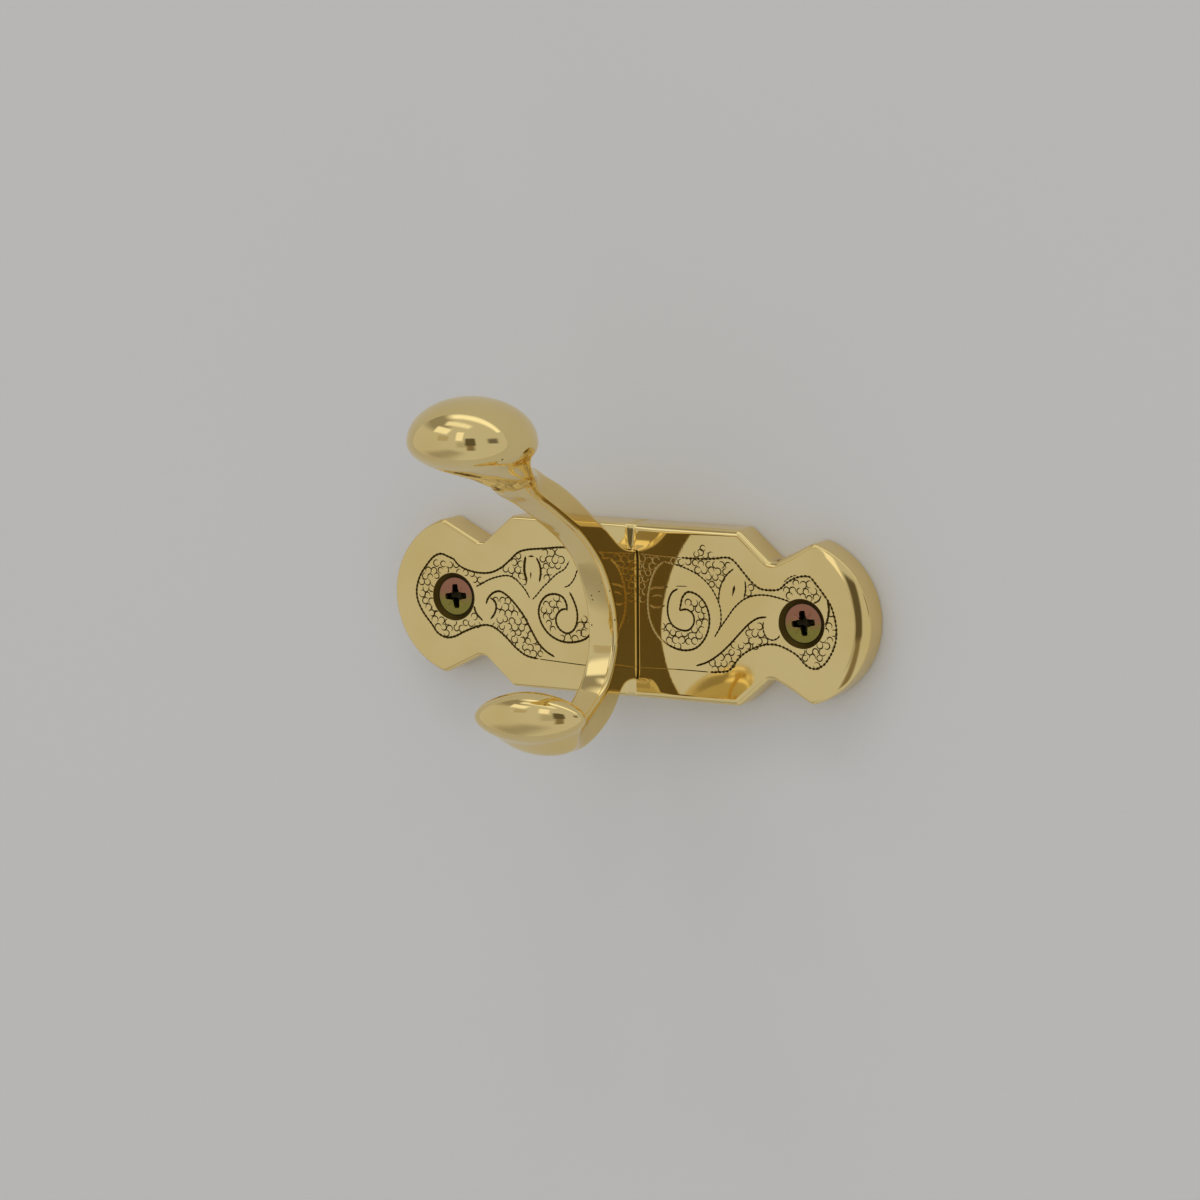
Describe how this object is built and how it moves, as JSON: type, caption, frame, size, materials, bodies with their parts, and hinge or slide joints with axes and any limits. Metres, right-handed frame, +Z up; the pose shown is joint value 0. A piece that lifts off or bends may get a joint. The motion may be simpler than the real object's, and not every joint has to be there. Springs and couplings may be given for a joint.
{
  "type": "coat hook",
  "caption": "Cast brass coat hook: a flat-sided double arm with an oval knob at each end, standing on a lobed engraved backplate that is screwed to a wall.",
  "frame": {"origin": "middle of the backplate's back face, on the wall", "axes": "+X along the plate to the viewer's right, +Y into the wall, +Z up"},
  "size_m": [0.1066, 0.1019, 0.0728],
  "materials": {
    "plate_brass": "polished, engraved lines darkened",
    "hook_brass": "mirror polished casting",
    "passivated_steel": "yellow-passivated zinc",
    "plain_steel": "plain steel"
  },
  "bodies": {
    "root": {"backplate": "plate_brass", "hook": "hook_brass", "wall_screws": "passivated_steel", "foot_screws": "plain_steel"}
  },
  "joints": []
}
